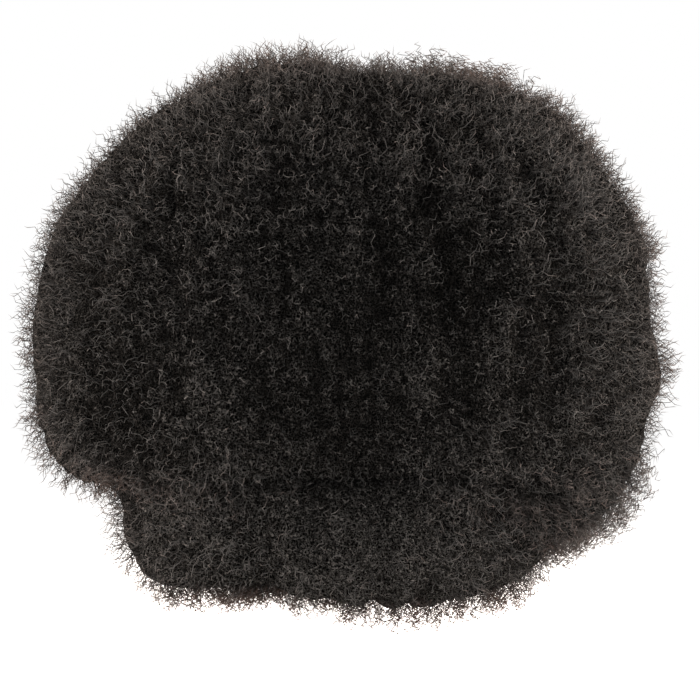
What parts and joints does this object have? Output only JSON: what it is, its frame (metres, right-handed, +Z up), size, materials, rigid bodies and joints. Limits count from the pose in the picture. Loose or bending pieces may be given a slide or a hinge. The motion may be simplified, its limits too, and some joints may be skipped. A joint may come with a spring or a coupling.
{
  "type": "afro wig",
  "caption": "Full kinky afro wig on a stretch net cap, with long soft locks that fall from the crown, an off-centre part, a short fringe and a lower tier of hair at the nape",
  "frame": {"origin": "the spot inside the cap that rests on the crown of the head", "axes": "+Z is up, the wearer faces -Y, and the wearer's left is +X"},
  "size_m": [0.4062, 0.3032, 0.3566],
  "materials": {
    "net": "matte stretch net",
    "tape": "matte woven elastic tape",
    "hair": "soft sheen, fine kinky fibre"
  },
  "bodies": {
    "root": {"cap_net": "net", "cap_tape": "tape", "hair_left": "hair", "hair_back": "hair", "hair_right": "hair", "hair_nape": "hair"}
  },
  "joints": []
}
